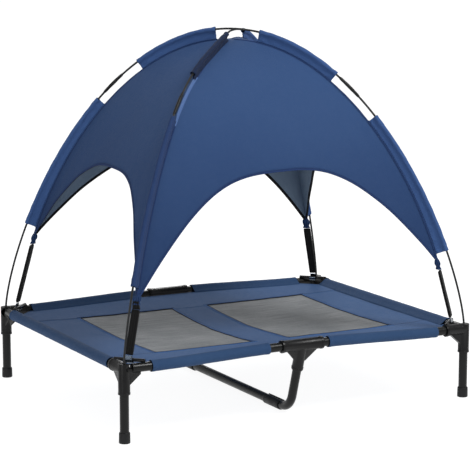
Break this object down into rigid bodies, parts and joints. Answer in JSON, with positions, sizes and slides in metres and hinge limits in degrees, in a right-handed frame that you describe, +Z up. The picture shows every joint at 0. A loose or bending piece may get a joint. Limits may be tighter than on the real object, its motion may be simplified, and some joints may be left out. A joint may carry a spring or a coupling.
{
  "type": "dog bed with frame and canopy",
  "caption": "Raised mesh dog bed on a socketed steel tube frame, shaded by a domed fabric canopy on two crossing arched poles held down by corner straps.",
  "frame": {"origin": "on the floor below the middle of the bed", "axes": "+X along the bed's long side to its right, +Y to its back, +Z up"},
  "size_m": [0.937, 0.741, 0.8946],
  "materials": {
    "bracket_plastic": "satin black moulded plastic",
    "foot_plastic": "dark grey moulded plastic",
    "frame_tube": "black powder coat",
    "pole": "dark grey coated rod",
    "ferrule": "black",
    "bed_fabric": "blue woven polyester",
    "mesh_fabric": "grey ventilated mesh",
    "canopy_fabric": "blue woven polyester, silver-grey coated inside",
    "webbing": "black woven webbing",
    "hook_steel": "bright plated steel"
  },
  "bodies": {
    "bed": {"corner_bracket_front_left": "bracket_plastic", "corner_bracket_front_right": "bracket_plastic", "corner_bracket_back_right": "bracket_plastic", "corner_bracket_back_left": "bracket_plastic", "leg_tube_front_left": "frame_tube", "leg_tube_front_right": "frame_tube", "leg_tube_back_right": "frame_tube", "leg_tube_back_left": "frame_tube", "foot_cap_front_left": "foot_plastic", "foot_cap_front_right": "foot_plastic", "foot_cap_back_right": "foot_plastic", "foot_cap_back_left": "foot_plastic", "tee_bracket_front": "bracket_plastic", "tee_bracket_back": "bracket_plastic", "front_rail_left": "frame_tube", "front_rail_right": "frame_tube", "back_rail_left": "frame_tube", "back_rail_right": "frame_tube", "left_rail": "frame_tube", "right_rail": "frame_tube", "centre_support": "frame_tube", "support_pad_front": "foot_plastic", "support_pad_back": "foot_plastic", "bed_cover": "bed_fabric", "mesh_left": "mesh_fabric", "mesh_right": "mesh_fabric"},
    "canopy": {"pole_centre_over": "pole", "pole_centre_under": "pole", "pole_lower_front_left": "pole", "pole_lower_front_right": "pole", "pole_lower_back_right": "pole", "pole_lower_back_left": "pole", "pole_ferrule_front_left": "ferrule", "pole_ferrule_front_right": "ferrule", "pole_ferrule_back_right": "ferrule", "pole_ferrule_back_left": "ferrule", "canopy_panel_front": "canopy_fabric", "canopy_panel_right": "canopy_fabric", "canopy_panel_back": "canopy_fabric", "canopy_panel_left": "canopy_fabric", "pole_sleeve_upper_front_left": "canopy_fabric", "pole_sleeve_lower_front_left": "canopy_fabric", "pole_sleeve_upper_front_right": "canopy_fabric", "pole_sleeve_lower_front_right": "canopy_fabric", "pole_sleeve_upper_back_right": "canopy_fabric", "pole_sleeve_lower_back_right": "canopy_fabric", "pole_sleeve_upper_back_left": "canopy_fabric", "pole_sleeve_lower_back_left": "canopy_fabric", "tie_knot_front_left": "canopy_fabric", "tie_knot_front_right": "canopy_fabric", "tie_knot_back_right": "canopy_fabric", "tie_knot_back_left": "canopy_fabric"},
    "strap_front_left": {"strap_front_left": "webbing", "strap_hook_front_left": "hook_steel"},
    "strap_front_right": {"strap_front_right": "webbing", "strap_hook_front_right": "hook_steel"},
    "strap_back_right": {"strap_back_right": "webbing", "strap_hook_back_right": "hook_steel"},
    "strap_back_left": {"strap_back_left": "webbing", "strap_hook_back_left": "hook_steel"}
  },
  "joints": [
    {"name": "canopy_lift", "type": "slide", "parent": "bed", "child": "canopy", "axis": [0, 0, 1], "range_m": [0, 0.15]},
    {"name": "strap_swing_front_left", "type": "hinge", "parent": "bed", "child": "strap_front_left", "pos_m": [-0.428, -0.33, 0.183], "axis": [-0.7071, 0.7071, 0], "range_deg": [0, 60]},
    {"name": "strap_swing_front_right", "type": "hinge", "parent": "bed", "child": "strap_front_right", "pos_m": [0.428, -0.33, 0.183], "axis": [-0.7071, -0.7071, 0], "range_deg": [0, 60]},
    {"name": "strap_swing_back_right", "type": "hinge", "parent": "bed", "child": "strap_back_right", "pos_m": [0.428, 0.33, 0.183], "axis": [0.7071, -0.7071, 0], "range_deg": [0, 60]},
    {"name": "strap_swing_back_left", "type": "hinge", "parent": "bed", "child": "strap_back_left", "pos_m": [-0.428, 0.33, 0.183], "axis": [0.7071, 0.7071, 0], "range_deg": [0, 60]}
  ]
}
